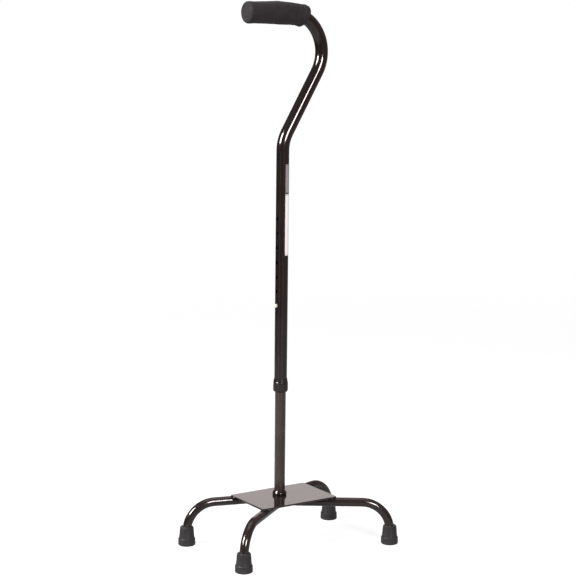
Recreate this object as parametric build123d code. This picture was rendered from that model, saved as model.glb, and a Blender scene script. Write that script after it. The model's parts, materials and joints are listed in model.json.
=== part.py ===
from build123d import *
import os
from math import asin, cos, radians, sin, tan

# A quad walking cane. Millimetres, +Z up. The origin is on the floor, under the middle of the four feet.
# The grip and the plate's long side lie along X. The straight, user's side of the base is +Y.

os.makedirs("parts", exist_ok=True)

INCH = 25.4

# Base: a flat plate on two bent tubes that make four legs
plate_length = 155.6
plate_width = 106.4
plate_thick = 3.0
plate_top = 85.4
plate_corner = 2.5
plate_edge = 0.4
plate_x = -2.0
plate_y = 14.0

leg_r = 5 / 8 * INCH / 2
leg_wall = 1.5
leg_bend = 50.0
leg_low_end = 6.0
foot_half_span = 152.5
foot_half_depth = 90.5
pair_stagger = 3.0
front_apex = (-4.0, 19.0)
front_apex_bend = 30.0
rear_apex = (-2.0, 46.0)
rear_apex_bend = 60.0

tip_height = 33.5
tip_band_height = 12.0
tip_band_r = 15.3
tip_shoulder_r = 13.8
tip_mouth_r = 11.5
tip_rib = 0.35
tip_rib_height = 1.1
tip_rib_pitch = 3.0
tread_grooves = (6.0, 10.0)
tread_groove_half = 1.0
washer_thick = 1.2
washer_hole_r = 2.5

front_weld_span = (32.0, 84.0)
rear_weld_span = (20.0, 38.0)

# Shaft: the lower tube slides in the upper one
shaft_x = -4.0
shaft_y = 24.3
lower_r = 3 / 4 * INCH / 2
lower_wall = 1.2
lower_top = 439.0
upper_r = 7 / 8 * INCH / 2
upper_wall = 1.4
upper_bottom = 283.0
hole_pitch = INCH
hole_count = 7

ferrule_r = 12.4
ferrule_band = 4.4
ferrule_height = 8.0
ferrule_top_r = 10.2
ferrule_round = 1.8
spigot_height = 26.0
spigot_pin_r = 5.0

# Swan neck and grip, measured from the shaft's axis
neck_low_corner = 712.7
neck_lean = 30.5
neck_low_bend = 60.0
neck_top_bend = 66.8
grip_height = 930.2
grip_tube_end = -71.0
foam_r = 19.0
foam_end = -77.5
foam_round = 5.0
foam_arc = 26.0
plug_head = 1.4
plug_length = 12.0

# Locking collar
collar_bottom = 272.4
collar_top = 296.6
collar_r = 13.0
collar_body_top = 286.2
collar_cone_low = 290.4
collar_flutes = 20
flute_r = 1.5
flute_depth = 0.28
flute_length = 9.0
flute_height = 280.5
sleeve_r = 11.9
sleeve_top = 288.5
ring_low = 275.2
ring_high = 281.2
ring_slot = 1.6

# Snap button and its spring clip
button_height = 426.0
button_r = 3.5
button_reach = 15.2
button_dome = 1.8
button_flange_r = 4.5
button_flange_out = 6.9
button_flange_thick = 0.8
hole_r = 3.7
clip_thick = 0.5
clip_width = 6.0

label_thick = 0.15
label_from = -95.0
label_span = 72.0
grey_label_heights = (622.9, 673.0)
white_label_heights = (514.8, 621.2)

running_gap = 0.1
press_gap = 0.02
plate_bottom = plate_top - plate_thick
leg_height = plate_bottom - leg_r
shaft = Pos(shaft_x, shaft_y, 0)


def save(name, shape):
    """Write one piece of the cane to its own file."""
    export_step(shape, f"parts/{name}.step")


def turned(*outline, arc=360):
    """A solid turned about Z from an outline of radius and height pairs."""
    return revolve(make_face(Plane.XZ * Polyline(*outline, close=True)), Axis.Z, arc)


def bent_rod(points, bends, radius):
    """A round bar along straight runs joined by tangent bends."""
    path = FilletPolyline(*points, radius=bends)
    start = Plane(origin=path @ 0, z_dir=path % 0)
    return sweep(start * Circle(radius), path=path)


def bent_tube(points, bends, radius, wall):
    """A round tube, open at both ends, along straight runs joined by tangent bends."""
    return bent_rod(points, bends, radius) - bent_rod(points, bends, radius - wall)


# --- Base ---------------------------------------------------------------------------------------

FEET = {
    "left_front": (pair_stagger - foot_half_span, -foot_half_depth),
    "right_front": (pair_stagger + foot_half_span, -foot_half_depth),
    "left_rear": (-pair_stagger - foot_half_span, foot_half_depth),
    "right_rear": (-pair_stagger + foot_half_span, foot_half_depth),
}


def base_plate():
    """Flat steel plate with a hole for the spigot's pin."""
    outline = RectangleRounded(plate_length, plate_width, plate_corner)
    plate = Pos(plate_x, plate_y, plate_bottom) * extrude(outline, plate_thick)
    edges = plate.edges().group_by(Axis.Z)
    plate = chamfer(edges[0] + edges[-1], plate_edge)
    pin_hole = Cylinder(spigot_pin_r + press_gap, 4 * plate_thick)
    return plate - Pos(shaft_x, shaft_y, plate_top) * pin_hole


def leg_rod(left, right, apex, apex_bend, radius):
    """The line of two legs: a V in plan, with both ends turned down towards the floor."""
    points = [
        (*left, leg_low_end),
        (*left, leg_height),
        (*apex, leg_height),
        (*right, leg_height),
        (*right, leg_low_end),
    ]
    return bent_rod(points, [leg_bend, apex_bend, leg_bend], radius)


def leg_welds(apex, foot, start, end):
    """The two weld beads that join one leg's run to the underside of the plate."""
    run = Vector(foot[0] - apex[0], foot[1] - apex[1]).normalized()
    across = Vector(-run.Y, run.X)
    origin = Vector(*apex, plate_bottom) + run * start
    section = Plane(origin=origin, x_dir=across, z_dir=run)
    bead_toe, bead_root, bead_depth, bead_foot = 9.6, 3.5, 4.2, 6.2
    tube = section * Pos(0, -leg_r) * Circle(leg_r + press_gap)
    beads = []
    for side in (-1, 1):
        corners = [(bead_root, 0), (bead_toe, 0), (bead_foot, -bead_depth), (bead_root, -bead_depth)]
        wedge = make_face(section * Polyline(*[(side * x, y) for x, y in corners], close=True))
        beads += (extrude(wedge, end - start, dir=run) - extrude(tube, end - start, dir=run)).solids()
    return beads


def rubber_tip(leg):
    """A moulded tip: a stepped cone on a wide tread band, with ring grooves in its tread.

    Its socket follows the leg, which is still bending a little at the tip's mouth.
    """
    band_low = 2.4
    band_taper = 0.3
    mouth_edge = 0.8
    tip = turned(
        (0, 0),
        (tip_band_r - 2.0, 0),
        (tip_band_r - 0.6, 0.7),
        (tip_band_r, band_low),
        (tip_band_r - band_taper, tip_band_height),
        (tip_shoulder_r, tip_band_height + 1.2),
        (tip_mouth_r, tip_height - mouth_edge),
        (tip_mouth_r - mouth_edge, tip_height),
        (0, tip_height),
    )
    slope = (tip_shoulder_r - tip_mouth_r) / (tip_height - tip_band_height)
    for rib in (1, 2, 3):
        below_mouth = rib * tip_rib_pitch
        rib_r = tip_mouth_r + slope * below_mouth + tip_rib
        tip += Pos(0, 0, tip_height - below_mouth) * Cylinder(rib_r, tip_rib_height)
    for groove_r in tread_grooves:
        groove = Cylinder(groove_r + tread_groove_half, 2.0)
        tip -= groove - Cylinder(groove_r - tread_groove_half, 2.0)
    washer_seat = Pos(0, 0, leg_low_end - washer_thick / 2) * Cylinder(leg_r, washer_thick)
    return tip - washer_seat - leg


def tip_washer():
    """Steel disc that keeps the leg's end from cutting through the rubber."""
    disc = Cylinder(leg_r - 0.1, washer_thick) - Cylinder(washer_hole_r, washer_thick)
    return Pos(0, 0, leg_low_end - washer_thick / 2) * disc


def ferrule():
    """Ring with a round band and a sloping shoulder that hides the joint between the shaft and the plate."""
    ring = turned(
        (0, 0),
        (ferrule_r, 0),
        (ferrule_r, ferrule_band),
        (ferrule_top_r, ferrule_height),
        (0, ferrule_height),
    )
    rims = ring.edges().filter_by(GeomType.CIRCLE).sort_by(Axis.Z)
    ring = fillet(rims[:2], ferrule_round) - Cylinder(lower_r + press_gap, 3 * ferrule_height)
    return shaft * Pos(0, 0, plate_top) * ring


def spigot():
    """Steel slug inside the foot of the lower tube, with a pin that is welded in the plate's hole."""
    slug_r = lower_r - lower_wall - press_gap
    slug = turned(
        (0, -plate_thick),
        (spigot_pin_r, -plate_thick),
        (spigot_pin_r, 0),
        (slug_r, 0),
        (slug_r, spigot_height - 1.5),
        (slug_r - 1.5, spigot_height),
        (0, spigot_height),
    )
    return shaft * Pos(0, 0, plate_top) * slug


# --- Shaft --------------------------------------------------------------------------------------


def hole_through(height, radius, reach):
    """A round cutter from the shaft's axis towards -X; a negative reach points it towards +X."""
    cutter = Cylinder(radius, abs(reach), align=(Align.CENTER, Align.CENTER, Align.MIN))
    turn = -90 if reach > 0 else 90
    return Pos(0, 0, height) * Rot(0, turn, 0) * cutter


def lower_tube():
    """Straight tube with one hole for the snap button."""
    length = lower_top - plate_top
    tube = Cylinder(lower_r, length) - Cylinder(lower_r - lower_wall, length)
    tube = Pos(0, 0, plate_top + length / 2) * tube
    return shaft * (tube - hole_through(button_height, hole_r, 2 * lower_r))


def glide_bush():
    """Nylon bush on the top end of the lower tube: a flange that runs in the upper tube, and a plug."""
    flange_r = upper_r - upper_wall - running_gap
    plug_r = lower_r - lower_wall - press_gap
    bore_r, plug_low, flange_top = 6.5, -7.0, 5.0
    bush = turned(
        (bore_r, plug_low),
        (plug_r, plug_low),
        (plug_r, 0),
        (flange_r, 0),
        (flange_r, flange_top - 1.0),
        (flange_r - 1.0, flange_top),
        (bore_r, flange_top),
    )
    return shaft * Pos(0, 0, lower_top) * bush


def button_clip():
    """Spring clip bent from strip: one leg carries the button, the other bears on the far wall."""
    front = -(button_flange_out - button_flange_thick - clip_thick / 2)
    back = lower_r - lower_wall - 1.0
    top, knee, low = 5.0, -6.0, -40.0
    knee_bend, low_bend = 12.0, 1.0
    corners = [(front, top), (front, knee), (-1.0, low), (1.5, low), (back, knee), (back, top)]
    line = FilletPolyline(*corners, radius=[knee_bend, low_bend, low_bend, knee_bend])
    strip = extrude(Plane.XZ * trace(line, clip_thick), clip_width / 2, both=True)
    return shaft * Pos(0, 0, button_height) * strip


def snap_button():
    """Domed button with a flange that stops it at the inside of the lower tube."""
    shank_top = button_reach - button_dome
    ball = (button_r**2 + button_dome**2) / (2 * button_dome)
    half = asin(button_r / ball) / 2
    middle = (ball * sin(half), button_reach - ball + ball * cos(half))
    low = button_flange_out - button_flange_thick
    outline = Polyline(
        (0, low),
        (button_flange_r, low),
        (button_flange_r, button_flange_out),
        (button_r, button_flange_out),
        (button_r, shank_top),
    )
    outline += ThreePointArc((button_r, shank_top), middle, (0, button_reach))
    outline += Line((0, button_reach), (0, low))
    button = revolve(make_face(Plane.XZ * outline), Axis.Z)
    return shaft * Pos(0, 0, button_height) * Rot(0, -90, 0) * button


# --- Handle -------------------------------------------------------------------------------------

neck_reach = (grip_height - neck_low_corner) * tan(radians(neck_lean))
NECK_BENDS = [neck_low_bend, neck_top_bend]


def neck_points(bottom, end):
    """The handle tube's line: up the shaft, along the leaning neck and back over the shaft."""
    return [(0, 0, bottom), (0, 0, neck_low_corner), (neck_reach, 0, grip_height), (end, 0, grip_height)]


def handle_tube():
    """Upper tube with its swan neck, drilled through both walls for the snap button."""
    tube = bent_tube(neck_points(upper_bottom, grip_tube_end), NECK_BENDS, upper_r, upper_wall)
    for step in range(hole_count):
        height = button_height + step * hole_pitch
        tube -= hole_through(height, hole_r, 2 * upper_r)
        tube -= hole_through(height, hole_r, -2 * upper_r)
    return shaft * tube


def grip_bend_end():
    """Where the grip's straight part ends and the neck's top bend begins."""
    half_turn = radians(90 + neck_lean) / 2
    return neck_reach - neck_top_bend * tan(half_turn)


def foam_body(radius, end, round_end):
    """The grip's outer form: a straight stretch with a rounded end, and a short stretch round the bend."""
    bend_x = grip_bend_end()
    straight = Plane(origin=(end, 0, grip_height), z_dir=(1, 0, 0)) * Circle(radius)
    straight = extrude(straight, bend_x - end, dir=(1, 0, 0))
    if round_end:
        straight = fillet(straight.edges().sort_by(Axis.X)[0], round_end)
    centre = (bend_x, 0, grip_height - neck_top_bend)
    section = Plane(origin=(bend_x, 0, grip_height), z_dir=(1, 0, 0)) * Circle(radius)
    around = revolve(section, Axis(centre, (0, 1, 0)), foam_arc)
    if round_end:
        around = fillet(around.edges().sort_by(Axis.X)[-1], round_end * 0.7)
    return straight + around


def foam_grip():
    """Foam sleeve, closed over the tube's end."""
    foam = foam_body(foam_r, foam_end, foam_round)
    return shaft * (foam - foam_bore(grip_tube_end - plug_head - running_gap))


def foam_bore(end):
    """The tube-shaped hollow in the foam, a little longer than the foam at the neck."""
    return bent_rod(neck_points(0, end)[1:], [neck_top_bend], upper_r)


def grip_plug():
    """Plastic plug in the handle tube's end."""
    bore_r = upper_r - upper_wall
    plug = turned(
        (0, 0),
        (upper_r - 0.3, 0),
        (upper_r - 0.3, plug_head),
        (bore_r - press_gap, plug_head),
        (bore_r - press_gap, plug_length - 2.0),
        (bore_r - 1.0, plug_length),
        (0, plug_length),
    )
    return shaft * Pos(grip_tube_end - plug_head, 0, grip_height) * Rot(0, 90, 0) * plug


# --- Locking collar -----------------------------------------------------------------------------



def guide_bush():
    """Nylon cap on the foot of the upper tube: it guides the lower tube, and the collar screws on it."""
    outline = (
        (lower_r + running_gap, upper_bottom - 1.5),
        (sleeve_r, upper_bottom - 1.5),
        (sleeve_r, sleeve_top),
        (upper_r + press_gap, sleeve_top),
        (upper_r + press_gap, upper_bottom),
        (lower_r + running_gap, upper_bottom),
    )
    return shaft * turned(*outline)


def compression_ring():
    """Split ring that grips the lower tube when the collar is tightened."""
    ring = turned(
        (lower_r + running_gap, ring_low),
        (sleeve_r - 1.2, ring_low),
        (sleeve_r - 0.3, ring_low + 1.5),
        (sleeve_r - 0.3, ring_high - 1.0),
        (sleeve_r - 1.2, ring_high),
        (lower_r + running_gap, ring_high),
    )
    slot = Pos(lower_r + 1, 0, ring_low) * Box(8, ring_slot, 30)
    return shaft * (ring - slot)


def lock_collar():
    """Plastic collar: a cone above a shoulder, a fluted body and a lip round the lower tube."""
    inner_r = sleeve_r + running_gap
    lip_top = ring_low - 0.3
    groove_depth = 0.5
    cone_gap = 0.15
    collar = turned(
        (lower_r + 2 * running_gap, collar_bottom),
        (collar_r - 2.6, collar_bottom),
        (collar_r - 0.9, collar_bottom + 1.0),
        (collar_r, collar_bottom + 3.2),
        (collar_r, collar_body_top),
        (collar_r - groove_depth, collar_body_top + 0.6),
        (collar_r - groove_depth, collar_body_top + 1.4),
        (collar_r, collar_body_top + 2.0),
        (collar_r - 0.1, collar_cone_low - 0.8),
        (collar_r - 0.5, collar_cone_low),
        (upper_r + 0.5, collar_top),
        (upper_r + cone_gap, collar_top),
        (upper_r + cone_gap, sleeve_top + 1.5),
        (inner_r, sleeve_top + 0.5),
        (inner_r, lip_top),
        (lower_r + 2 * running_gap, lip_top),
    )
    for number in range(collar_flutes):
        flute = Pos(collar_r + flute_r - flute_depth, 0, flute_height) * Cylinder(flute_r, flute_length)
        collar -= Rot(0, 0, number * 360 / collar_flutes) * flute
    return shaft * collar


# --- Labels -------------------------------------------------------------------------------------


def label(low, high):
    """A sticker wrapped part of the way round the upper tube."""
    inner = upper_r + press_gap / 2
    outer = inner + label_thick
    sticker = turned((inner, low), (outer, low), (outer, high), (inner, high), arc=label_span)
    return shaft * Rot(0, 0, label_from) * sticker


# --- All pieces ---------------------------------------------------------------------------------

save("base_plate", base_plate())

welds = []
for row, apex, apex_bend, weld_span in (
    ("front", front_apex, front_apex_bend, front_weld_span),
    ("rear", rear_apex, rear_apex_bend, rear_weld_span),
):
    left, right = FEET[f"left_{row}"], FEET[f"right_{row}"]
    rod = leg_rod(left, right, apex, apex_bend, leg_r)
    save(f"{row}_leg_tube", rod - leg_rod(left, right, apex, apex_bend, leg_r - leg_wall))
    for side, foot in (("left", left), ("right", right)):
        spot = Pos(*foot, 0)
        save(f"tip_{side}_{row}", spot * rubber_tip(spot.inverse() * rod))
        save(f"tip_washer_{side}_{row}", spot * tip_washer())
        welds += leg_welds(apex, foot, *weld_span)
save("leg_weld_beads", Compound(welds))

save("foot_ferrule", ferrule())
save("shaft_spigot", spigot())
save("lower_tube", lower_tube())
save("glide_bush", glide_bush())
save("button_clip", button_clip())
save("snap_button", snap_button())
save("handle_tube", handle_tube())
save("foam_grip", foam_grip())
save("grip_plug", grip_plug())
save("guide_bush", guide_bush())
save("compression_ring", compression_ring())
save("lock_collar", lock_collar())
save("grey_label", label(*grey_label_heights))
save("white_label", label(*white_label_heights))
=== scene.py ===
import json
import math

import bmesh
import bpy
from mathutils import Matrix, Vector, noise


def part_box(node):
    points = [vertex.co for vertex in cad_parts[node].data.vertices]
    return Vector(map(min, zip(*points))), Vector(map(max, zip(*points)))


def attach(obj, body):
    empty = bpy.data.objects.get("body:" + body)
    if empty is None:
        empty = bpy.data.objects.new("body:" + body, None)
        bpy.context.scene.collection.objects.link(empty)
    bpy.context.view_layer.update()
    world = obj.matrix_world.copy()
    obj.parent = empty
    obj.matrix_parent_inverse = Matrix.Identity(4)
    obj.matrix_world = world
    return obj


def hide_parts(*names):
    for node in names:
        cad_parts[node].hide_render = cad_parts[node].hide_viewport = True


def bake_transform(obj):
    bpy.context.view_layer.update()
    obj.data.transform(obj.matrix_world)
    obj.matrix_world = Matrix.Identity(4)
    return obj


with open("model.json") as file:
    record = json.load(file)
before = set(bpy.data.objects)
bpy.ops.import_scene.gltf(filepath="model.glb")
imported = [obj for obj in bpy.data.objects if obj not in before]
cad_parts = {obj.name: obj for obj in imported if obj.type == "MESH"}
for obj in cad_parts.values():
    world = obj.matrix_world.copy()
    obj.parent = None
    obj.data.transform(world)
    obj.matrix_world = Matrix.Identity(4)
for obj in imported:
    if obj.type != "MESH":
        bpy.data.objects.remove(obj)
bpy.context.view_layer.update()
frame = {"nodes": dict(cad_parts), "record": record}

MM = 0.001

# The shaft's axis, and the camera's place and direction round it
shaft_low, shaft_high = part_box("lower_tube")
SHAFT = (shaft_low + shaft_high) / 2
CAMERA_AT = Vector((-1.6287, -2.4518, 0.9342))
CAMERA_AZIMUTH = math.radians(-33.49)
CAMERA_DOWN = math.radians(9.16)
CAMERA_ROLL = math.radians(0.6)
CAMERA_LENS = 107.63


# --- Materials ----------------------------------------------------------------------------------

BRONZE_TINT = (1.0, 0.89, 0.87, 1.0)


class Finish:
    """A procedural material for one slot of the record, laid out in metres on the object itself."""

    def __init__(self, slot, **fixed):
        self.material = bpy.data.materials.get(slot) or bpy.data.materials.new(slot)
        self.material.use_nodes = True
        self.tree = self.material.node_tree
        self.tree.nodes.clear()
        output = self.add("OutputMaterial")
        self.surface = self.add("BsdfPrincipled")
        self.tree.links.new(self.surface.outputs[0], output.inputs["Surface"])
        self.place = self.add("TexCoord").outputs["Object"]
        for name, value in fixed.items():
            self.surface.inputs[name.replace("_", " ")].default_value = value

    def add(self, kind, inputs=None, **settings):
        """A shader node, with sockets or plain values on the inputs named by place or name."""
        node = self.tree.nodes.new("ShaderNode" + kind)
        for name, value in settings.items():
            setattr(node, name, value)
        for name, value in (inputs or {}).items():
            if isinstance(value, bpy.types.NodeSocket):
                self.tree.links.new(value, node.inputs[name])
            else:
                node.inputs[name].default_value = value
        return node

    def scaled(self, stretch):
        """The object's coordinates, stretched so that a pattern is longer along some axes."""
        shrink = [1 / value for value in stretch]
        return self.add("VectorMath", {0: self.place, 1: shrink}, operation="MULTIPLY").outputs[0]

    def noise(self, size, detail=3.0, rough=0.5, stretch=(1, 1, 1)):
        """Smooth noise with features of that size in metres, from 0 to 1."""
        inputs = {"Vector": self.scaled(stretch), "Scale": 1 / size, "Detail": detail, "Roughness": rough}
        return self.add("TexNoise", inputs).outputs["Fac"]

    def cells(self, size, feature="F1"):
        """Distance to the nearest point of a foam-like pattern of cells, from 0 to about 1."""
        inputs = {"Vector": self.place, "Scale": 1 / size}
        return self.add("TexVoronoi", inputs, feature=feature).outputs["Distance"]

    def specks(self, size, radius):
        """Sparse round specks: 1 on a speck, 0 elsewhere."""
        return self.span(self.cells(size), radius, radius * 0.6, 0, 1)

    def height(self):
        """The height above the floor, in metres."""
        return self.add("SeparateXYZ", {0: self.place}).outputs["Z"]

    def span(self, value, low, high, to_low, to_high):
        """The value carried from one range to another, held at its ends."""
        inputs = {"Value": value, "From Min": low, "From Max": high, "To Min": to_low, "To Max": to_high}
        return self.add("MapRange", inputs).outputs["Result"]

    def math(self, operation, first, second):
        """Sum, product or other sum of two values."""
        return self.add("Math", {0: first, 1: second}, operation=operation).outputs[0]

    def mix(self, share, first, second):
        """One colour at 0 and another at 1."""
        inputs = {"Factor": share}
        node = self.add("Mix", inputs, data_type="RGBA")
        for socket, value in (("A_Color", first), ("B_Color", second)):
            target = next(s for s in node.inputs if s.identifier == socket)
            if isinstance(value, bpy.types.NodeSocket):
                self.tree.links.new(value, target)
            else:
                target.default_value = (*value, 1.0)
        return next(s for s in node.outputs if s.identifier == "Result_Color")

    def finish(self, colour, roughness, relief):
        """Links the colour and the roughness, and adds up the relief, as pairs of pattern and metres."""
        self.tree.links.new(colour, self.surface.inputs["Base Color"])
        self.tree.links.new(roughness, self.surface.inputs["Roughness"])
        total = 0.0
        for pattern, depth in relief:
            total = self.math("ADD", total, self.math("MULTIPLY", pattern, depth))
        bump = self.add("Bump", {"Height": total, "Strength": 1.0, "Distance": 1.0})
        self.tree.links.new(bump.outputs[0], self.surface.inputs["Normal"])
        return self.material


def gloss_paint(slot, dark, light, roughness, peel=1.0, dust=0.0, streaks=0.0):
    """Sprayed gloss paint: orange peel, faint clouds of colour, tiny metal flakes painted lighter as painted
    glints, dust and fine rubbed lines.
    """
    paint = Finish(slot, Coat_Weight=0.15, Coat_Roughness=0.04, IOR=1.5, Specular_Tint=BRONZE_TINT)
    clouds = paint.noise(0.035, detail=4)
    # Painted glints: tiny metal flakes in the paint, lightened in the base colour to stand for their sparkle
    flake_glints = paint.specks(0.0011, 0.16)
    colour = paint.mix(paint.span(clouds, 0.35, 0.65, 0, 1), dark, light)
    colour = paint.mix(paint.math("MULTIPLY", flake_glints, 0.35), colour, [min(1, 2.2 * c) for c in light])
    patches = paint.span(paint.noise(0.006, detail=6, rough=0.7), 0.52, 0.75, 0, 1)
    settled = paint.math("MULTIPLY", patches, dust)
    colour = paint.mix(settled, colour, (0.20, 0.185, 0.17))
    lines = paint.noise(0.0007, detail=2, stretch=(1, 1, 70))
    rubbed = paint.math("MULTIPLY", paint.span(lines, 0.60, 0.74, 0, 1), streaks)
    colour = paint.mix(paint.math("MULTIPLY", rubbed, 0.5), colour, (0.16, 0.145, 0.14))
    dull = paint.span(paint.noise(0.016, detail=3), 0.3, 0.7, roughness * 0.93, roughness * 1.10)
    dull = paint.math("ADD", dull, paint.math("MULTIPLY", settled, 0.4))
    dull = paint.math("ADD", dull, paint.math("MULTIPLY", rubbed, 0.15))
    relief = [(paint.noise(0.003, detail=1), peel * 0.3e-6), (paint.noise(0.014, detail=1), peel * 2.0e-6),
              (rubbed, -1.0e-6)]
    return paint.finish(colour, dull, relief)


def foam_finish():
    """Closed-cell foam: small open cells, sunk and painted darker as painted shade in the pits, over a fine
    grain, slightly polished where the palm rests.
    """
    foam = Finish("grip_foam", Specular_IOR_Level=0.24, Sheen_Weight=0.03, Sheen_Roughness=0.5)
    # 1 in the middle of each cell: how deep its pit sinks in the bump, and how dark its painted shade is
    pit_depth_and_shade = foam.span(foam.cells(0.0009), 0.05, 0.55, 1, 0)
    grain = foam.noise(0.0004, detail=5, rough=0.7)
    clouds = foam.noise(0.014, detail=4, rough=0.6)
    colour = foam.mix(foam.span(clouds, 0.3, 0.7, 0, 1), (0.0110, 0.0080, 0.0088), (0.0148, 0.0110, 0.0120))
    # Painted shade: the sunken pits of the cells are darkened in the colour
    colour = foam.mix(foam.math("MULTIPLY", pit_depth_and_shade, 0.5), colour, (0.0055, 0.0042, 0.0045))
    colour = foam.mix(foam.math("MULTIPLY", foam.specks(0.0045, 0.10), 0.6), colour, (0.045, 0.039, 0.041))
    polish = foam.span(foam.noise(0.02, detail=3), 0.35, 0.7, 0.92, 0.72)
    return foam.finish(colour, polish, [(pit_depth_and_shade, -9e-5), (grain, 7e-5), (foam.noise(0.003), 6e-5)])


def rubber_finish():
    """Moulded rubber: a fine spark-eroded grain, pale bloom, and scuffs on the lowest edge."""
    rubber = Finish("tip_rubber", Specular_IOR_Level=0.4)
    bloom = rubber.noise(0.008, detail=6, rough=0.65)
    black, pale = (0.0120, 0.0103, 0.0110), (0.0190, 0.0168, 0.0178)
    colour = rubber.mix(rubber.span(bloom, 0.35, 0.75, 0, 1), black, pale)
    low_edge = rubber.span(rubber.height(), 0.001, 0.009, 1, 0)
    scuff = rubber.span(rubber.noise(0.0016, detail=5, rough=0.75), 0.50, 0.68, 0, 1)
    scuff = rubber.math("MULTIPLY", scuff, low_edge)
    colour = rubber.mix(rubber.math("MULTIPLY", scuff, 0.5), colour, (0.10, 0.095, 0.092))
    dull = rubber.span(rubber.noise(0.003, detail=4), 0.3, 0.7, 0.34, 0.50)
    dull = rubber.math("ADD", dull, rubber.math("MULTIPLY", scuff, 0.2))
    relief = [(rubber.noise(0.0005, detail=3), 3e-5), (scuff, -8e-5), (rubber.noise(0.004), 5e-5)]
    return rubber.finish(colour, dull, relief)


def moulded_plastic(slot, dark, light, low_rough, high_rough, grain=1.0, **fixed):
    """Moulded plastic with a fine grain, slow shifts of gloss and a little grime in the low spots."""
    plastic = Finish(slot, **fixed)
    clouds = plastic.noise(0.006, detail=5, rough=0.6)
    colour = plastic.mix(plastic.span(clouds, 0.3, 0.7, 0, 1), dark, light)
    grime = plastic.span(plastic.noise(0.0012, detail=5, rough=0.75), 0.60, 0.78, 0, 0.4)
    colour = plastic.mix(grime, colour, [c * 0.45 for c in dark])
    dull = plastic.span(plastic.noise(0.002, detail=4), 0.3, 0.7, low_rough, high_rough)
    fine = plastic.noise(0.00035, detail=2)
    return plastic.finish(colour, dull, [(fine, 6e-6 * grain), (clouds, 1.5e-5 * grain)])


def bare_metal(slot, dark, light, low_rough, high_rough, stretch):
    """Bright metal with drawn or turned lines and patches of dull plating."""
    metal = Finish(slot, Metallic=1.0)
    patches = metal.noise(0.004, detail=6, rough=0.65)
    lines = metal.noise(0.0003, detail=2, stretch=stretch)
    colour = metal.mix(metal.span(patches, 0.3, 0.7, 0, 1), dark, light)
    dull = metal.span(metal.math("MULTIPLY", patches, lines), 0.1, 0.4, low_rough, high_rough)
    return metal.finish(colour, dull, [(lines, 4e-6)])


def printed_film(slot, paper, band, low, high):
    """A blank printed film on the tube: a thin plain border, paper fibre and lifted, dirty rims."""
    film = Finish(slot, Coat_Weight=0.3, Coat_Roughness=0.2)
    fibre = film.noise(0.0006, detail=6, rough=0.75)
    colour = film.mix(film.span(fibre, 0.35, 0.7, 0, 1), [c * 0.93 for c in paper], paper)
    rim, line = 1.6 * MM, 0.5 * MM
    height = film.height()
    from_end = film.math("MINIMUM", film.math("SUBTRACT", height, low), film.math("SUBTRACT", high, height))
    off_line = film.math("ABSOLUTE", film.math("SUBTRACT", from_end, rim), 0.0)
    colour = film.mix(film.span(off_line, line * 0.8, line, 1, 0), colour, band)
    dirt = film.math("MULTIPLY", film.span(from_end, 0.0, 1.2 * MM, 0.5, 0), fibre)
    colour = film.mix(dirt, colour, (0.12, 0.11, 0.10))
    dull = film.span(film.noise(0.005, detail=4), 0.3, 0.7, 0.28, 0.42)
    return film.finish(colour, dull, [(fibre, 8e-6), (film.noise(0.007), 3e-5)])


def dress_nodes():
    """Gives every CAD node the detailed material of its own slot."""
    grey_low, grey_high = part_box("grey_label")
    white_low, white_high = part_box("white_label")
    gloss_paint("handle_paint", (0.0055, 0.0040, 0.0038), (0.0085, 0.0062, 0.0058), 0.11)
    gloss_paint("lower_tube_paint", (0.018, 0.0128, 0.0122), (0.026, 0.0188, 0.0178), 0.15, streaks=0.35)
    gloss_paint("leg_paint", (0.0085, 0.0060, 0.0056), (0.0135, 0.0098, 0.0092), 0.13, peel=1.2, dust=0.05)
    gloss_paint("plate_paint", (0.010, 0.0072, 0.0068), (0.014, 0.0102, 0.0095), 0.09, peel=0.5, dust=0.03)
    gloss_paint("ferrule_paint", (0.0055, 0.0040, 0.0038), (0.0085, 0.0062, 0.0058), 0.10, dust=0.03)
    foam_finish()
    rubber_finish()
    moulded_plastic("collar_plastic", (0.0065, 0.0046, 0.0043), (0.0095, 0.0070, 0.0065), 0.22, 0.28, 0.5)
    moulded_plastic("button_plastic", (0.40, 0.375, 0.31), (0.47, 0.445, 0.38), 0.18, 0.28, 0.5,
                    Coat_Weight=0.3, Coat_Roughness=0.1)
    moulded_plastic("nylon", (0.66, 0.64, 0.57), (0.75, 0.73, 0.67), 0.34, 0.48, Subsurface_Weight=0.2,
                    Subsurface_Scale=0.002)
    bare_metal("spring_steel", (0.40, 0.38, 0.36), (0.58, 0.57, 0.56), 0.18, 0.34, (1, 1, 60))
    bare_metal("plain_steel", (0.48, 0.48, 0.50), (0.68, 0.68, 0.69), 0.28, 0.5, (12, 12, 1))
    printed_film("grey_label", (0.215, 0.19, 0.195), (0.07, 0.066, 0.068), grey_low.z, grey_high.z)
    printed_film("white_label", (0.70, 0.66, 0.665), (0.36, 0.35, 0.355), white_low.z, white_high.z)
    for entry in frame["record"]["subparts"]:
        node = frame["nodes"][entry["node"]]
        for place in node.material_slots:
            place.material = bpy.data.materials[entry["material_slot"]]


# --- Foam grip ----------------------------------------------------------------------------------

GRIP_BEND = math.radians(26.3)
GRIP_AROUND = 144
BORE_STEPS = 60
FACE_STEPS = 7

# The ring pressed into the end face: its height, radius and half width
FACE_RING_HIGH = 0.7 * MM
FACE_RING_R = 10.6 * MM
FACE_RING_WIDE = 0.9 * MM
FACE_SET_BACK = 0.35 * MM
FACE_DISH = 0.45 * MM


def smooth_between(points, at):
    """The value at a place between points, with a level tangent at each point."""
    if at <= points[0][0]:
        return points[0][1]
    for (low, first), (high, second) in zip(points, points[1:]):
        if at <= high:
            share = (at - low) / (high - low)
            share = share * share * (3 - 2 * share)
            return first + (second - first) * share
    return points[-1][1]


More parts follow.
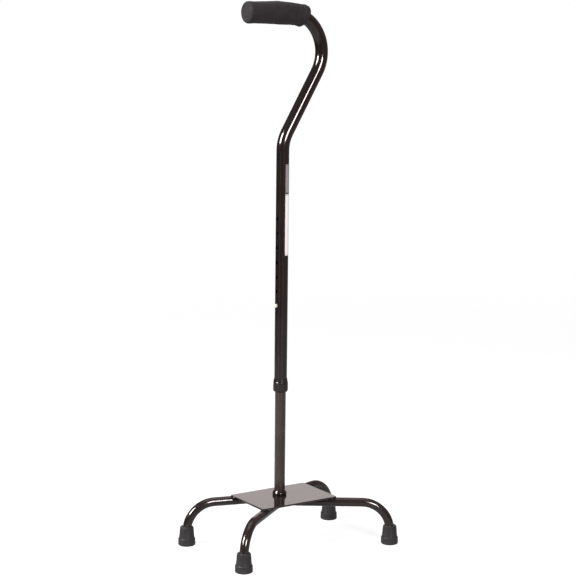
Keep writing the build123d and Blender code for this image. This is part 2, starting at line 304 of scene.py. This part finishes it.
class GripLine:
    """The grip's centre line: straight over the shaft, then round the neck's top bend."""

    bend_start = SHAFT.x + 11.3 * MM
    bend_r = 66.8 * MM

    def __init__(self):
        low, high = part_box("foam_grip")
        self.end = low.x
        self.radius = (high.y - low.y) / 2
        self.y = (high.y + low.y) / 2
        self.z = high.z - self.radius
        self.straight = self.bend_start - self.end

    def at(self, along):
        """A point on the line and the two directions across it, at a distance from the closed end."""
        side = Vector((0, 1, 0))
        if along <= self.straight:
            return Vector((self.end + along, self.y, self.z)), side, Vector((0, 0, 1))
        turn = (along - self.straight) / self.bend_r
        up = Vector((math.sin(turn), 0, math.cos(turn)))
        centre = Vector((self.bend_start, self.y, self.z - self.bend_r))
        return centre + up * self.bend_r, side, up


def grip_sections(line):
    """Pairs of distance and radius, from the middle of the end face, over the outside, and into the bore."""
    around_bend = GRIP_BEND * line.bend_r
    length = line.straight + around_bend
    swell = [(0.0, 18.7), (5.0, 18.9), (16.0, 18.35), (36.0, 18.8), (54.0, 19.4), (66.0, 19.85),
             (82.5, 19.35), (97.0, 18.9), (106.0, 18.8), (112.0, 19.6), (118.0, 19.6)]
    end_round, neck_round, bore_r = 5.6 * MM, 3.4 * MM, 11.2 * MM
    sections = []
    steps = 14
    face_r = smooth_between(swell, 0.0) * MM - end_round
    for step in range(1, steps + 1):
        radius = face_r * step / steps
        dish = FACE_DISH * math.cos(0.5 * math.pi * step / steps)
        ring = FACE_RING_HIGH * math.exp(-((radius - FACE_RING_R) / FACE_RING_WIDE) ** 2)
        sections.append((FACE_SET_BACK - dish + ring, radius))
    for step in range(1, steps + 1):
        turn = 0.5 * math.pi * step / steps
        along = FACE_SET_BACK + end_round * (1 - math.cos(turn))
        sections.append((along, face_r + end_round * math.sin(turn)))
    body_from, body_to = sections[-1][0], length - neck_round
    body_steps = int((body_to - body_from) / (0.75 * MM))
    for step in range(1, body_steps + 1):
        along = body_from + (body_to - body_from) * step / body_steps
        blend = min(1.0, (along - body_from) / (6 * MM))
        start_r = sections[2 * steps - 1][1]
        target = smooth_between(swell, along / MM) * MM
        sections.append((along, start_r + (target - start_r) * blend))
    rim_r = sections[-1][1]
    for step in range(1, steps + 1):
        turn = 0.5 * math.pi * step / steps
        sections.append((body_to + neck_round * math.sin(turn), rim_r - neck_round * (1 - math.cos(turn))))
    face_from = sections[-1][1]
    for step in range(1, FACE_STEPS + 1):
        sections.append((length, face_from + (bore_r - face_from) * step / FACE_STEPS))
    bore_end = 9.2 * MM
    for step in range(1, BORE_STEPS + 1):
        sections.append((length + (bore_end - length) * step / BORE_STEPS, bore_r))
    return sections


def slump(along):
    """How far the skin sits below the centre line where the bend stretches the foam over its top."""
    sag = [(60.0, 0.0), (82.5, 1.05), (98.0, 1.7), (106.0, 0.9), (113.0, 0.0)]
    return smooth_between(sag, along / MM) * MM


def relief_at(point, outward):
    """The foam's uneven skin, in metres."""
    soft = noise.noise(point * 140) * 0.16 + noise.noise(point * 420) * 0.07
    return outward * (soft * MM)


def foam_grip():
    """The foam sleeve as one closed skin, with its bore and its rounded, slightly dished end."""
    line = GripLine()
    sections = grip_sections(line)
    around = GRIP_AROUND
    mesh = bmesh.new()
    face_centre, _, _ = line.at(0.0)
    first = mesh.verts.new(face_centre - Vector((0.10 * MM, 0, 0)))
    rings = []
    outer_count = len(sections) - BORE_STEPS
    for number, (along, radius) in enumerate(sections):
        centre, side, up = line.at(along)
        ring = []
        for step in range(around):
            turn = 2 * math.pi * step / around
            outward = side * math.cos(turn) + up * math.sin(turn)
            point = centre + outward * radius
            if number < outer_count:
                point += relief_at(point, outward) - up * slump(along)
            ring.append(mesh.verts.new(point))
        rings.append(ring)
    for step in range(around):
        mesh.faces.new((first, rings[0][(step + 1) % around], rings[0][step]))
    for inner, outer in zip(rings, rings[1:]):
        for step in range(around):
            after = (step + 1) % around
            mesh.faces.new((inner[step], inner[after], outer[after], outer[step]))
    floor_centre, _, _ = line.at(sections[-1][0])
    last = mesh.verts.new(floor_centre)
    for step in range(around):
        mesh.faces.new((last, rings[-1][step], rings[-1][(step + 1) % around]))
    bmesh.ops.recalc_face_normals(mesh, faces=mesh.faces)
    grip = make_piece("foam_grip_sleeve", mesh, "grip_foam", "handle", "foam_grip")


def make_piece(name, mesh, slot, body, *nodes):
    """A finished mesh in place of the CAD nodes that it stands for, riding on a body if one is given."""
    data = bpy.data.meshes.new(name)
    mesh.to_mesh(data)
    mesh.free()
    for face in data.polygons:
        face.use_smooth = True
    data.materials.append(bpy.data.materials[slot])
    piece = bpy.data.objects.new(name, data)
    bpy.context.scene.collection.objects.link(piece)
    if body:
        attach(piece, body)
    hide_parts(*nodes)
    return piece


# --- Legs and their welds -------------------------------------------------------------------------

LEG_R = 5 / 8 * 25.4 / 2 * MM
LEG_WALL = 1.5 * MM
LEG_BEND = 50 * MM
LEG_LOW_END = 6 * MM
LEG_AROUND = 72


class LegPair:
    """Two legs bent from one tube: a V in plan, with both ends turned down to the floor."""

    def __init__(self, row, apex_x, apex_y, apex_bend, weld_from, weld_to):
        self.row = row
        self.plate_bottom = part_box("base_plate")[0].z
        self.apex = Vector((apex_x * MM, apex_y * MM, self.plate_bottom - LEG_R))
        self.apex_bend = apex_bend * MM
        self.weld = (weld_from * MM, weld_to * MM)
        self.feet = []
        for side in ("left", "right"):
            low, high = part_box(f"tip_{side}_{row}")
            self.feet.append(Vector(((low.x + high.x) / 2, (low.y + high.y) / 2, LEG_LOW_END)))

    def line(self):
        """The pair's centre line, from one tip to the other."""
        left, right = self.feet
        left_knee = Vector((left.x, left.y, self.apex.z))
        right_knee = Vector((right.x, right.y, self.apex.z))
        corners = [left, left_knee, self.apex, right_knee, right]
        return bent_line(corners, [LEG_BEND, self.apex_bend, LEG_BEND])


def bent_line(corners, bends):
    """Points and directions along straight runs joined by tangent bends."""
    fine = math.radians(1.5)
    line = [(corners[0], (corners[1] - corners[0]).normalized())]
    for before, corner, after, bend in zip(corners, corners[1:], corners[2:], bends):
        ahead, onward = (corner - before).normalized(), (after - corner).normalized()
        turn = ahead.angle(onward)
        inward = (onward - ahead * math.cos(turn)).normalized()
        centre = corner - ahead * (bend * math.tan(turn / 2)) + inward * bend
        steps = max(2, round(turn / fine))
        for step in range(steps + 1):
            at = turn * step / steps
            outward = ahead * math.sin(at) - inward * math.cos(at)
            line.append((centre + outward * bend, ahead * math.cos(at) + inward * math.sin(at)))
    line.append((corners[-1], (corners[-1] - corners[-2]).normalized()))
    return line


def rings_along(mesh, line, radii, around):
    """Rings of vertices round a line, carried along it without twist."""
    forward = line[0][1]
    side = forward.orthogonal().normalized()
    rings = []
    for (point, ahead), radius in zip(line, radii):
        side = forward.rotation_difference(ahead) @ side
        forward = ahead
        up = ahead.cross(side)
        ring = []
        for step in range(around):
            turn = 2 * math.pi * step / around
            ring.append(mesh.verts.new(point + (side * math.cos(turn) + up * math.sin(turn)) * radius))
        rings.append(ring)
    return rings


def join_rings(mesh, rings):
    """Faces between each ring and the one after it."""
    around = len(rings[0])
    for before, after in zip(rings, rings[1:]):
        for step in range(around):
            follow = (step + 1) % around
            mesh.faces.new((before[step], before[follow], after[follow], after[step]))


def leg_pair(pair):
    """One bent tube with its wall, open at both ends inside the tips."""
    mesh = bmesh.new()
    line = pair.line()
    outer = rings_along(mesh, line, [LEG_R] * len(line), LEG_AROUND)
    inner = rings_along(mesh, line, [LEG_R - LEG_WALL] * len(line), LEG_AROUND)
    join_rings(mesh, outer)
    join_rings(mesh, inner)
    for ends in ((outer[0], inner[0]), (outer[-1], inner[-1])):
        join_rings(mesh, ends)
    bmesh.ops.recalc_face_normals(mesh, faces=mesh.faces)
    make_piece(f"{pair.row}_legs", mesh, "leg_paint", "base", f"{pair.row}_leg_tube")


def add_weld_bead(mesh, start, run, length, seed):
    """A rippled weld bead, laid in one pass from start along run."""
    bead_r, ripple, pitch = 2.45 * MM, 0.22 * MM, 2.3 * MM
    steps = int(length / (0.35 * MM))
    line, radii = [], []
    for step in range(steps + 1):
        along = length * step / steps
        wander = noise.noise(Vector((seed, along * 180, 0)))
        from_end = min(along, length - along) / bead_r
        taper = math.sqrt(max(0.02, 1 - max(0.0, 1 - from_end) ** 2))
        crest = abs(math.sin(math.pi * (along + 0.25 * MM * wander) / pitch))
        line.append((start + run * along + Vector((0, 0, 0.2 * MM * wander)), run))
        radii.append((bead_r - ripple * (1 - crest) + 0.15 * MM * wander) * taper)
    rings = rings_along(mesh, line, radii, 20)
    join_rings(mesh, rings)
    mesh.faces.new(rings[0])
    mesh.faces.new(rings[-1])


def weld_beads(pairs):
    """The beads along both sides of each leg's run, under the plate."""
    mesh = bmesh.new()
    beside, below = 6.3 * MM, 1.7 * MM
    for number, pair in enumerate(pairs):
        for foot in pair.feet:
            run = Vector((foot.x - pair.apex.x, foot.y - pair.apex.y, 0)).normalized()
            across = Vector((-run.y, run.x, 0))
            for side in (-1, 1):
                start = pair.apex + run * pair.weld[0] + across * (side * beside)
                start.z = pair.plate_bottom - below
                add_weld_bead(mesh, start, run, pair.weld[1] - pair.weld[0], number * 7 + foot.x * 50 + side)
    bmesh.ops.recalc_face_normals(mesh, faces=mesh.faces)
    make_piece("leg_welds", mesh, "leg_paint", "base", "leg_weld_beads")


def legs():
    """Both pairs of legs with their welds."""
    pairs = [LegPair("front", -4, 19, 30, 32, 84), LegPair("rear", -2, 46, 60, 20, 38)]
    for pair in pairs:
        leg_pair(pair)
    weld_beads(pairs)


# --- Spring behind the button ---------------------------------------------------------------------


def button_spring():
    """The V spring behind the button, made from the CAD clip's mesh with its long edges cut finer and shaded
    flat; in the cane its near leg goes in with the button and its far leg stays against the tube's wall, but
    this piece does not move.
    """
    mesh = bmesh.new()
    mesh.from_mesh(frame["nodes"]["button_clip"].data)
    long_edges = [edge for edge in mesh.edges if edge.calc_length() > 3 * MM]
    bmesh.ops.subdivide_edges(mesh, edges=long_edges, cuts=8)
    bmesh.ops.triangulate(mesh, faces=mesh.faces)
    spring = make_piece("button_spring", mesh, "spring_steel", None, "button_clip")
    spring.data.shade_flat()
    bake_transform(spring)


# --- Stage, lights and camera --------------------------------------------------------------------

# The floor's size and brightness; its glow is stronger as the camera sees it than as the object does
FLOOR_RADIUS = 3.2
FLOOR_FADE_FROM = 0.9
FLOOR_SHIFT = 0.4
FLOOR_GAP = 0.0002
FLOOR_COLOUR = (0.18, 0.18, 0.18, 1)
FLOOR_GLOW = 0.24
FLOOR_GLOW_SEEN = 0.62

# The room and the card that the gloss reflects, with their edges as cosines from the right and from the card
ROOM_COLOUR = (1, 0.74, 0.72, 1)
ROOM_EDGE = (-0.6, 0.9)
ROOM_LEVELS = (0.055, 0.30)
CARD_COLOUR = (1, 0.915, 0.89, 1)
CARD_STRENGTH = 1.34
CARD_RISE = math.radians(16)
CARD_EDGE = (0.982, 0.993)


def camera_axes():
    """The directions to the right of the camera's picture and away from it, level with the floor."""
    right = Vector((math.cos(CAMERA_AZIMUTH), math.sin(CAMERA_AZIMUTH), 0))
    away = Vector((-math.sin(CAMERA_AZIMUTH), math.cos(CAMERA_AZIMUTH), 0))
    return right, away


def add_camera():
    """The camera, a little above the grip and tilted down, with a slight roll."""
    right, away = camera_axes()
    forward = away * math.cos(CAMERA_DOWN) - Vector((0, 0, math.sin(CAMERA_DOWN)))
    up = right.cross(forward)
    rolled_right = right * math.cos(CAMERA_ROLL) + up * math.sin(CAMERA_ROLL)
    rolled_up = up * math.cos(CAMERA_ROLL) - right * math.sin(CAMERA_ROLL)
    data = bpy.data.cameras.new("camera")
    data.sensor_width = 36
    data.lens = CAMERA_LENS
    data.clip_start, data.clip_end = 0.05, 60
    camera = bpy.data.objects.new("camera", data)
    turn = Matrix((rolled_right, rolled_up, -forward)).transposed().to_4x4()
    camera.matrix_world = Matrix.Translation(CAMERA_AT) @ turn
    bpy.context.scene.collection.objects.link(camera)
    bpy.context.scene.camera = camera


def add_softbox(name, azimuth, elevation, distance, width, height, power, aim_height=0.5):
    """A softbox that faces the object. Azimuth is from the camera's side, positive to the camera's right."""
    right, away = camera_axes()
    turn, rise = math.radians(azimuth), math.radians(elevation)
    level = right * math.sin(turn) - away * math.cos(turn)
    direction = level * math.cos(rise) + Vector((0, 0, math.sin(rise)))
    aim = Vector((SHAFT.x, SHAFT.y, aim_height))
    data = bpy.data.lights.new(name, "AREA")
    data.shape = "RECTANGLE"
    data.size, data.size_y = width, height
    data.energy = power
    light = bpy.data.objects.new(name, data)
    light.location = aim + direction * distance
    light.rotation_mode = "QUATERNION"
    light.rotation_quaternion = (-direction).to_track_quat("-Z", "Y")
    bpy.context.scene.collection.objects.link(light)


def node_chain(tree, *steps):
    """Adds shader nodes, and links each step's first output to the named input of the one after it."""
    made, before = [], None
    for kind, into, values, settings in steps:
        node = tree.nodes.new("ShaderNode" + kind)
        for name, value in settings.items():
            setattr(node, name, value)
        for name, value in values.items():
            node.inputs[name].default_value = value
        if before is not None and into is not None:
            tree.links.new(before, node.inputs[into])
        before = node.outputs[0]
        made.append(node)
    return made


def add_floor():
    """A pale, round studio floor that fades out into the white background."""
    right, _ = camera_axes()
    mesh = bmesh.new()
    bmesh.ops.create_circle(mesh, cap_ends=True, segments=96, radius=FLOOR_RADIUS)
    data = bpy.data.meshes.new("floor")
    mesh.to_mesh(data)
    mesh.free()
    floor = bpy.data.objects.new("floor", data)
    floor.location = right * FLOOR_SHIFT - Vector((0, 0, FLOOR_GAP))
    bpy.context.scene.collection.objects.link(floor)
    material = bpy.data.materials.new("floor")
    material.use_nodes = True
    tree = material.node_tree
    tree.nodes.clear()
    pale = tree.nodes.new("ShaderNodeBsdfDiffuse")
    pale.inputs["Color"].default_value = FLOOR_COLOUR
    path = tree.nodes.new("ShaderNodeLightPath")
    seen = tree.nodes.new("ShaderNodeMath")
    seen.operation = "MULTIPLY_ADD"
    seen.inputs[1].default_value = FLOOR_GLOW_SEEN
    seen.inputs[2].default_value = FLOOR_GLOW
    tree.links.new(path.outputs["Is Camera Ray"], seen.inputs[0])
    glow = tree.nodes.new("ShaderNodeEmission")
    tree.links.new(seen.outputs[0], glow.inputs["Strength"])
    both = tree.nodes.new("ShaderNodeAddShader")
    tree.links.new(pale.outputs[0], both.inputs[0])
    tree.links.new(glow.outputs[0], both.inputs[1])
    clear = tree.nodes.new("ShaderNodeBsdfTransparent")
    place = tree.nodes.new("ShaderNodeTexCoord")
    fade_range = {"From Min": FLOOR_FADE_FROM, "From Max": FLOOR_RADIUS}
    reach, fade = node_chain(
        tree,
        ("VectorMath", None, {}, {"operation": "LENGTH"}),
        ("MapRange", None, fade_range, {"interpolation_type": "SMOOTHSTEP"}),
    )
    tree.links.new(place.outputs["Object"], reach.inputs[0])
    tree.links.new(reach.outputs["Value"], fade.inputs["Value"])
    blend = tree.nodes.new("ShaderNodeMixShader")
    tree.links.new(fade.outputs["Result"], blend.inputs["Fac"])
    tree.links.new(both.outputs[0], blend.inputs[1])
    tree.links.new(clear.outputs[0], blend.inputs[2])
    output = tree.nodes.new("ShaderNodeOutputMaterial")
    tree.links.new(blend.outputs[0], output.inputs["Surface"])
    data.materials.append(material)


def add_world():
    """White to look at; the gloss sees a dim room, lighter to the right, and a lit card behind the object."""
    world = bpy.data.worlds.new("studio")
    bpy.context.scene.world = world
    world.use_nodes = True
    tree = world.node_tree
    tree.nodes.clear()
    right, away = camera_axes()
    card_at = away * math.cos(CARD_RISE) + Vector((0, 0, math.sin(CARD_RISE)))
    place = tree.nodes.new("ShaderNodeTexCoord")
    levels = []
    shades = ((card_at, *CARD_EDGE, 0.0, 1.0), (right, *ROOM_EDGE, *ROOM_LEVELS))
    for direction, low, high, dim, lit in shades:
        towards, level = node_chain(
            tree,
            ("VectorMath", None, {1: direction}, {"operation": "DOT_PRODUCT"}),
            ("MapRange", None, {"From Min": low, "From Max": high, "To Min": dim, "To Max": lit},
             {"interpolation_type": "SMOOTHSTEP"}),
        )
        tree.links.new(place.outputs["Generated"], towards.inputs[0])
        tree.links.new(towards.outputs["Value"], level.inputs["Value"])
        levels.append(level.outputs["Result"])
    behind, across = levels
    room = tree.nodes.new("ShaderNodeBackground")
    room.inputs["Color"].default_value = ROOM_COLOUR
    tree.links.new(across, room.inputs["Strength"])
    card = tree.nodes.new("ShaderNodeBackground")
    card.inputs["Color"].default_value = CARD_COLOUR
    card.inputs["Strength"].default_value = CARD_STRENGTH
    seen = tree.nodes.new("ShaderNodeBackground")
    seen.inputs["Color"].default_value = (1, 1, 1, 1)
    studio = tree.nodes.new("ShaderNodeMixShader")
    path = tree.nodes.new("ShaderNodeLightPath")
    blend = tree.nodes.new("ShaderNodeMixShader")
    output = tree.nodes.new("ShaderNodeOutputWorld")
    for mixer, share, first, second in ((studio, behind, room, card),
                                        (blend, path.outputs["Is Camera Ray"], studio, seen)):
        tree.links.new(share, mixer.inputs["Fac"])
        tree.links.new(first.outputs[0], mixer.inputs[1])
        tree.links.new(second.outputs[0], mixer.inputs[2])
    tree.links.new(blend.outputs[0], output.inputs["Surface"])


def add_studio():
    """Floor, background, two softboxes in front, one overhead, and two faint strips near the shaft."""
    add_floor()
    add_world()
    add_softbox("softbox_left", -63, 22, 2.4, 0.9, 1.0, 160, aim_height=0.8)
    add_softbox("softbox_right", 26, 14, 2.6, 0.8, 0.8, 84, aim_height=0.8)
    add_softbox("softbox_top", 180, 80, 2.6, 2.0, 2.0, 16, aim_height=0.2)
    add_softbox("strip_left", -41, 0, 1.0, 0.06, 0.62, 0.16, aim_height=0.32)
    add_softbox("strip_right", 23, 0, 1.0, 0.05, 0.62, 0.10, aim_height=0.32)
    bpy.context.scene.view_settings.view_transform = "Standard"


dress_nodes()
foam_grip()
legs()
button_spring()
add_studio()
add_camera()
